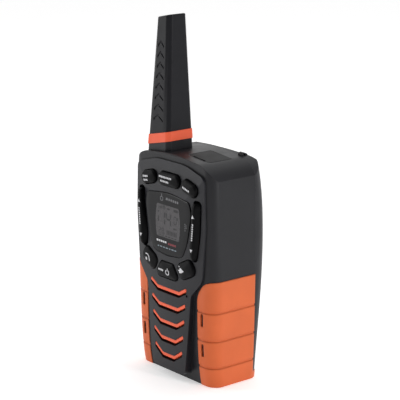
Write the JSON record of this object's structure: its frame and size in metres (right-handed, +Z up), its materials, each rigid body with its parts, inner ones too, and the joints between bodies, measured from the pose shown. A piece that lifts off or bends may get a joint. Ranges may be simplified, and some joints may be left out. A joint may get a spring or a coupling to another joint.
{
  "type": "walkie talkie",
  "caption": "Hand-held two-way radio with a stub antenna, display, push buttons, rockers, louvred speaker, side grips and a hinged battery door.",
  "frame": {"origin": "on the flat foot, under the middle of the casing's width", "axes": "+Z up along the antenna, +X to the right seen from the front, +Y to the back; the face panel faces -Y"},
  "size_m": [0.0666, 0.045, 0.1929],
  "materials": {
    "charcoal_plastic": "fine matte texture",
    "rear_plastic": "fine matte texture",
    "panel_plastic": "satin",
    "key_rubber": "matte",
    "orange_rubber": "matte",
    "orange_plastic": "satin",
    "antenna_rubber": "matte",
    "window_glass": "gloss",
    "lcd_glass": "gloss",
    "white_plastic": "satin",
    "black_plastic": "satin",
    "seal_rubber": "matte",
    "board_laminate": "solder mask",
    "tinned_steel": "satin",
    "screw_steel": "blackened",
    "spring_steel": "plated",
    "magnet_steel": "plated",
    "cone_paper": "matte",
    "cloth": "woven",
    "cell_jacket": "gloss",
    "brass": "satin"
  },
  "bodies": {
    "casing": {"front_case": "charcoal_plastic", "rear_case": "rear_plastic", "case_seal": "seal_rubber", "front_bezel": "panel_plastic", "display_window": "window_glass", "lcd_module": "lcd_glass", "lcd_frame": "white_plastic", "keypad_membrane": "seal_rubber", "keypad_board": "board_laminate", "grille_louvres": "orange_plastic", "speaker_cloth": "cloth", "speaker_frame": "tinned_steel", "speaker_cone": "cone_paper", "speaker_magnet": "magnet_steel", "mic_boot": "seal_rubber", "microphone": "tinned_steel", "talk_switch": "black_plastic", "antenna_neck": "charcoal_plastic", "antenna_ring": "orange_plastic", "antenna_sheath": "antenna_rubber", "antenna_core": "brass", "jack_block": "black_plastic", "lanyard_lug": "charcoal_plastic", "main_board": "board_laminate", "rf_shield": "tinned_steel", "board_screws": "screw_steel", "case_screws": "screw_steel", "battery_cells": "cell_jacket", "battery_springs": "spring_steel", "battery_contacts": "tinned_steel", "left_grip": "orange_rubber", "right_grip": "orange_rubber"},
    "memory_button": {"memory_button": "key_rubber"},
    "range_button": {"range_button": "key_rubber"},
    "scan_button": {"scan_button": "key_rubber"},
    "call_button": {"call_button": "key_rubber"},
    "power_button": {"power_button": "key_rubber"},
    "replay_button": {"replay_button": "key_rubber"},
    "volume_rocker": {"volume_rocker": "key_rubber"},
    "channel_rocker": {"channel_rocker": "key_rubber"},
    "talk_button": {"talk_button": "key_rubber"},
    "jack_cover": {"jack_cover": "seal_rubber"},
    "battery_door": {"battery_door": "rear_plastic", "door_seal": "seal_rubber"},
    "door_latch": {"door_latch": "black_plastic"}
  },
  "joints": [
    {"name": "memory_press", "type": "slide", "parent": "casing", "child": "memory_button", "axis": [0, 1, 0], "range_m": [0, 0.0008], "stiffness_N_per_m": 900, "springref_m": -0.0006},
    {"name": "range_press", "type": "slide", "parent": "casing", "child": "range_button", "axis": [0, 1, 0], "range_m": [0, 0.0008], "stiffness_N_per_m": 900, "springref_m": -0.0006},
    {"name": "scan_press", "type": "slide", "parent": "casing", "child": "scan_button", "axis": [0, 1, 0], "range_m": [0, 0.0008], "stiffness_N_per_m": 900, "springref_m": -0.0006},
    {"name": "call_press", "type": "slide", "parent": "casing", "child": "call_button", "axis": [0, 1, 0], "range_m": [0, 0.0008], "stiffness_N_per_m": 900, "springref_m": -0.0006},
    {"name": "power_press", "type": "slide", "parent": "casing", "child": "power_button", "axis": [0, 1, 0], "range_m": [0, 0.0008], "stiffness_N_per_m": 900, "springref_m": -0.0006},
    {"name": "replay_press", "type": "slide", "parent": "casing", "child": "replay_button", "axis": [0, 1, 0], "range_m": [0, 0.0008], "stiffness_N_per_m": 900, "springref_m": -0.0006},
    {"name": "volume_rock", "type": "hinge", "parent": "casing", "child": "volume_rocker", "pos_m": [-0.0225, -0.013, 0.0842], "axis": [1, 0, 0], "range_deg": [-3, 3], "stiffness_Nm_per_rad": 0.35},
    {"name": "channel_rock", "type": "hinge", "parent": "casing", "child": "channel_rocker", "pos_m": [0.0225, -0.013, 0.0842], "axis": [1, 0, 0], "range_deg": [-3, 3], "stiffness_Nm_per_rad": 0.35},
    {"name": "talk_press", "type": "slide", "parent": "casing", "child": "talk_button", "axis": [1, 0, 0], "range_m": [0, 0.0008], "stiffness_N_per_m": 1500, "springref_m": -0.0006},
    {"name": "jack_cover_hinge", "type": "hinge", "parent": "casing", "child": "jack_cover", "pos_m": [0.01375, 0.0052, 0.1216], "axis": [-1, 0, 0], "range_deg": [0, 95]},
    {"name": "battery_door_hinge", "type": "hinge", "parent": "casing", "child": "battery_door", "pos_m": [0, 0.0192, 0.0063], "axis": [-1, 0, 0], "range_deg": [0, 85]},
    {"name": "door_latch_slide", "type": "slide", "parent": "battery_door", "child": "door_latch", "axis": [0, 0, -1], "range_m": [0, 0.0022]}
  ]
}
